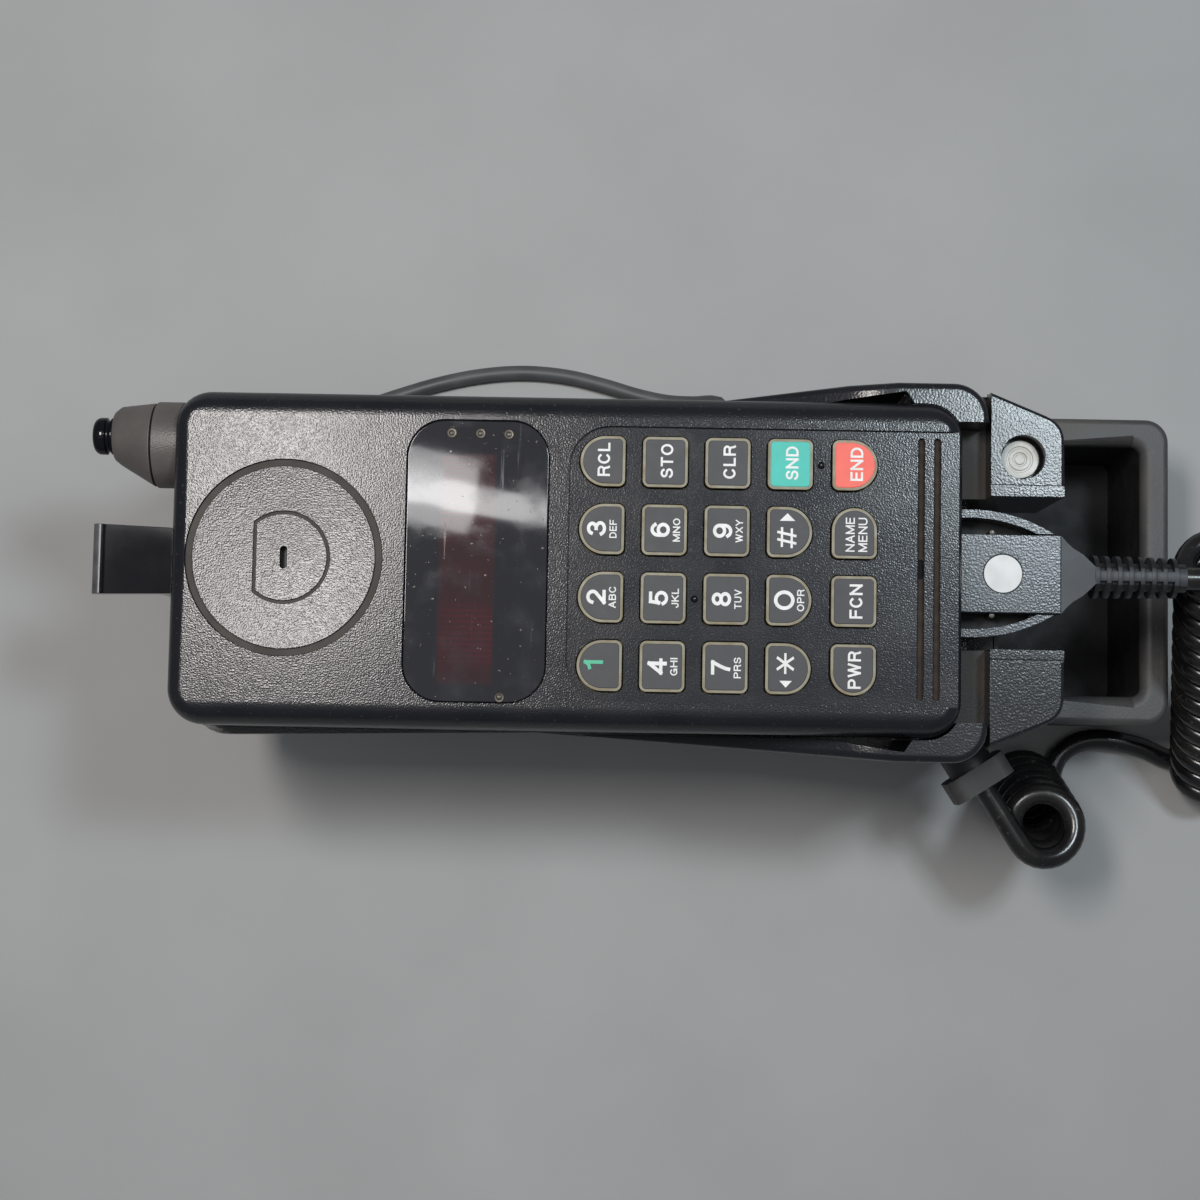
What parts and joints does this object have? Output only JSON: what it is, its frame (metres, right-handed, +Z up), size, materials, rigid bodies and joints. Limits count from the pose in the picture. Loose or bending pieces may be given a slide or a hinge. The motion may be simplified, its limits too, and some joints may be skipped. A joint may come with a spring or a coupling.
{
  "type": "car phone",
  "caption": "Keypad telephone handset lying in a hang-up cradle on a hollow console box, with a pull-out antenna, a squeeze-latch plug, a curly cord and a plain lead.",
  "frame": {"origin": "on the table under the middle of the whole without its cords", "axes": "+X along the handset from the earpiece to the plug, +Y across it towards the antenna, +Z up"},
  "size_m": [0.2492, 0.1131, 0.0842],
  "materials": {
    "charcoal_plastic": "fine moulded texture, worn satin",
    "black_plastic": "moulded, satin",
    "clip_plastic": "smooth, half gloss",
    "box_plastic": "moulded, dull",
    "lens_plastic": "polished dark filter, lightly scratched",
    "display_face": "dark red display face",
    "key_plastic": "dark gray tops, pale border, aged sides",
    "send_key_plastic": "turquoise top, pale border",
    "end_key_plastic": "coral top, pale border",
    "mat_rubber": "moulded silicone",
    "board_laminate": "green laminate",
    "steel": "plain zinc",
    "slate_plastic": "grained blue-gray",
    "white_plastic": "printed white",
    "boot_rubber": "smooth mid gray",
    "contact_gold": "gold plated",
    "sleeve_plastic": "warm gray, worn",
    "cream_plastic": "turned rings, satin",
    "cord_rubber": "glossy black jacket",
    "lead_rubber": "dull dark gray jacket",
    "pad_rubber": "matt"
  },
  "bodies": {
    "cradle": {"console_box": "box_plastic", "deck_plate": "box_plastic", "box_screws": "steel", "interface_board": "board_laminate", "cradle_base": "black_plastic", "cradle_cup": "charcoal_plastic", "cradle_screws": "steel", "rest_pads": "pad_rubber", "clip_pin": "steel", "clip_spring": "steel", "button_spring": "steel", "cord_socket": "black_plastic", "cord_collar": "boot_rubber", "curly_cord": "cord_rubber", "lead_cable": "lead_rubber", "lead_glands": "black_plastic"},
    "handset": {"front_housing": "charcoal_plastic", "rear_housing": "charcoal_plastic", "battery_pack": "charcoal_plastic", "display_lens": "lens_plastic", "display_module": "display_face", "earpiece_cap": "charcoal_plastic", "earpiece_speaker": "black_plastic", "logic_board": "board_laminate", "keypad_mat": "mat_rubber", "microphone": "black_plastic", "accessory_socket": "black_plastic", "housing_screws": "steel", "antenna_sleeve": "sleeve_plastic", "plug_base": "slate_plastic", "plug_cover": "slate_plastic", "plug_dot": "white_plastic", "plug_contacts": "contact_gold", "plug_boot": "boot_rubber"},
    "antenna": {"antenna_whip": "steel", "antenna_tip": "black_plastic"},
    "arm_upper": {"plug_arm_upper": "slate_plastic"},
    "arm_lower": {"plug_arm_lower": "slate_plastic"},
    "clip": {"head_clip": "clip_plastic"},
    "button": {"ear_button": "cream_plastic"},
    "key_rcl_cap": {"key_rcl": "key_plastic"},
    "key_3_cap": {"key_3": "key_plastic"},
    "key_2_cap": {"key_2": "key_plastic"},
    "key_1_cap": {"key_1": "key_plastic"},
    "key_sto_cap": {"key_sto": "key_plastic"},
    "key_6_cap": {"key_6": "key_plastic"},
    "key_5_cap": {"key_5": "key_plastic"},
    "key_4_cap": {"key_4": "key_plastic"},
    "key_clr_cap": {"key_clr": "key_plastic"},
    "key_9_cap": {"key_9": "key_plastic"},
    "key_8_cap": {"key_8": "key_plastic"},
    "key_7_cap": {"key_7": "key_plastic"},
    "key_snd_cap": {"key_snd": "send_key_plastic"},
    "key_hash_cap": {"key_hash": "key_plastic"},
    "key_0_cap": {"key_0": "key_plastic"},
    "key_star_cap": {"key_star": "key_plastic"},
    "key_end_cap": {"key_end": "end_key_plastic"},
    "key_menu_cap": {"key_menu": "key_plastic"},
    "key_fcn_cap": {"key_fcn": "key_plastic"},
    "key_pwr_cap": {"key_pwr": "key_plastic"}
  },
  "joints": [
    {"name": "handset_lift", "type": "slide", "parent": "cradle", "child": "handset", "axis": [0, 0, 1], "range_m": [0, 0.04]},
    {"name": "antenna_pull", "type": "slide", "parent": "handset", "child": "antenna", "axis": [-1, 0, 0], "range_m": [0, 0.1]},
    {"name": "arm_upper_squeeze", "type": "hinge", "parent": "handset", "child": "arm_upper", "pos_m": [0.07785, 0.0086, 0.072], "axis": [0, 0, 1], "range_deg": [0, 6], "stiffness_Nm_per_rad": 0.05},
    {"name": "arm_lower_squeeze", "type": "hinge", "parent": "handset", "child": "arm_lower", "pos_m": [0.07785, -0.0086, 0.072], "axis": [0, 0, -1], "range_deg": [0, 6], "stiffness_Nm_per_rad": 0.05},
    {"name": "clip_swing", "type": "hinge", "parent": "cradle", "child": "clip", "pos_m": [-0.09815, 0, 0.048], "axis": [0, -1, 0], "range_deg": [0, 12], "stiffness_Nm_per_rad": 0.15, "springref_deg": -5.73},
    {"name": "button_press", "type": "slide", "parent": "cradle", "child": "button", "axis": [0, 0, -1], "range_m": [0, 0.002], "stiffness_N_per_m": 500, "deforming": ["button_spring"]},
    {"name": "key_rcl_press", "type": "slide", "parent": "handset", "child": "key_rcl_cap", "axis": [0, 0, -1], "range_m": [0, 0.0008], "stiffness_N_per_m": 1200},
    {"name": "key_3_press", "type": "slide", "parent": "handset", "child": "key_3_cap", "axis": [0, 0, -1], "range_m": [0, 0.0008], "stiffness_N_per_m": 1200},
    {"name": "key_2_press", "type": "slide", "parent": "handset", "child": "key_2_cap", "axis": [0, 0, -1], "range_m": [0, 0.0008], "stiffness_N_per_m": 1200},
    {"name": "key_1_press", "type": "slide", "parent": "handset", "child": "key_1_cap", "axis": [0, 0, -1], "range_m": [0, 0.0008], "stiffness_N_per_m": 1200},
    {"name": "key_sto_press", "type": "slide", "parent": "handset", "child": "key_sto_cap", "axis": [0, 0, -1], "range_m": [0, 0.0008], "stiffness_N_per_m": 1200},
    {"name": "key_6_press", "type": "slide", "parent": "handset", "child": "key_6_cap", "axis": [0, 0, -1], "range_m": [0, 0.0008], "stiffness_N_per_m": 1200},
    {"name": "key_5_press", "type": "slide", "parent": "handset", "child": "key_5_cap", "axis": [0, 0, -1], "range_m": [0, 0.0008], "stiffness_N_per_m": 1200},
    {"name": "key_4_press", "type": "slide", "parent": "handset", "child": "key_4_cap", "axis": [0, 0, -1], "range_m": [0, 0.0008], "stiffness_N_per_m": 1200},
    {"name": "key_clr_press", "type": "slide", "parent": "handset", "child": "key_clr_cap", "axis": [0, 0, -1], "range_m": [0, 0.0008], "stiffness_N_per_m": 1200},
    {"name": "key_9_press", "type": "slide", "parent": "handset", "child": "key_9_cap", "axis": [0, 0, -1], "range_m": [0, 0.0008], "stiffness_N_per_m": 1200},
    {"name": "key_8_press", "type": "slide", "parent": "handset", "child": "key_8_cap", "axis": [0, 0, -1], "range_m": [0, 0.0008], "stiffness_N_per_m": 1200},
    {"name": "key_7_press", "type": "slide", "parent": "handset", "child": "key_7_cap", "axis": [0, 0, -1], "range_m": [0, 0.0008], "stiffness_N_per_m": 1200},
    {"name": "key_snd_press", "type": "slide", "parent": "handset", "child": "key_snd_cap", "axis": [0, 0, -1], "range_m": [0, 0.0008], "stiffness_N_per_m": 1200},
    {"name": "key_hash_press", "type": "slide", "parent": "handset", "child": "key_hash_cap", "axis": [0, 0, -1], "range_m": [0, 0.0008], "stiffness_N_per_m": 1200},
    {"name": "key_0_press", "type": "slide", "parent": "handset", "child": "key_0_cap", "axis": [0, 0, -1], "range_m": [0, 0.0008], "stiffness_N_per_m": 1200},
    {"name": "key_star_press", "type": "slide", "parent": "handset", "child": "key_star_cap", "axis": [0, 0, -1], "range_m": [0, 0.0008], "stiffness_N_per_m": 1200},
    {"name": "key_end_press", "type": "slide", "parent": "handset", "child": "key_end_cap", "axis": [0, 0, -1], "range_m": [0, 0.0008], "stiffness_N_per_m": 1200},
    {"name": "key_menu_press", "type": "slide", "parent": "handset", "child": "key_menu_cap", "axis": [0, 0, -1], "range_m": [0, 0.0008], "stiffness_N_per_m": 1200},
    {"name": "key_fcn_press", "type": "slide", "parent": "handset", "child": "key_fcn_cap", "axis": [0, 0, -1], "range_m": [0, 0.0008], "stiffness_N_per_m": 1200},
    {"name": "key_pwr_press", "type": "slide", "parent": "handset", "child": "key_pwr_cap", "axis": [0, 0, -1], "range_m": [0, 0.0008], "stiffness_N_per_m": 1200}
  ]
}
